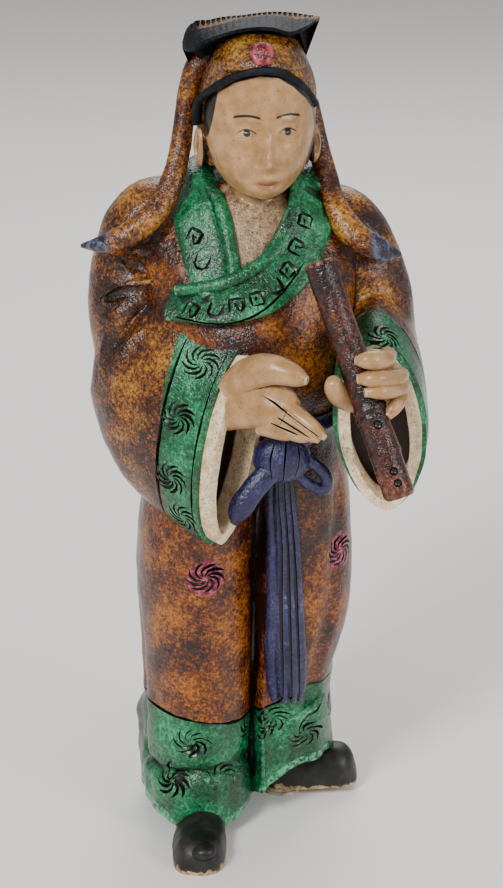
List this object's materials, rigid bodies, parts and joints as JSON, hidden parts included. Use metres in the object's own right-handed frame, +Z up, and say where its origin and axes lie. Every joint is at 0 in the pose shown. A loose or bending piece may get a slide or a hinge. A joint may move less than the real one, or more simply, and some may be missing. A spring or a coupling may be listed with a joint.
{
  "type": "roof ridge figure",
  "caption": "Standing robed flute player in glazed clay, made as an ornament for the ridge of a tiled roof, with a small levelling pad under one heel.",
  "frame": {"origin": "on the floor, under the centre of the whole part's box", "axes": "+Z up, -Y the way the figure faces, +X to the right of someone looking at its face"},
  "size_m": [0.1202, 0.1138, 0.2999],
  "materials": {
    "glazed_clay": "glossy",
    "pad_clay": "matte"
  },
  "bodies": {
    "root": {"ridge_figure": "glazed_clay", "heel_pad": "pad_clay"}
  },
  "joints": []
}
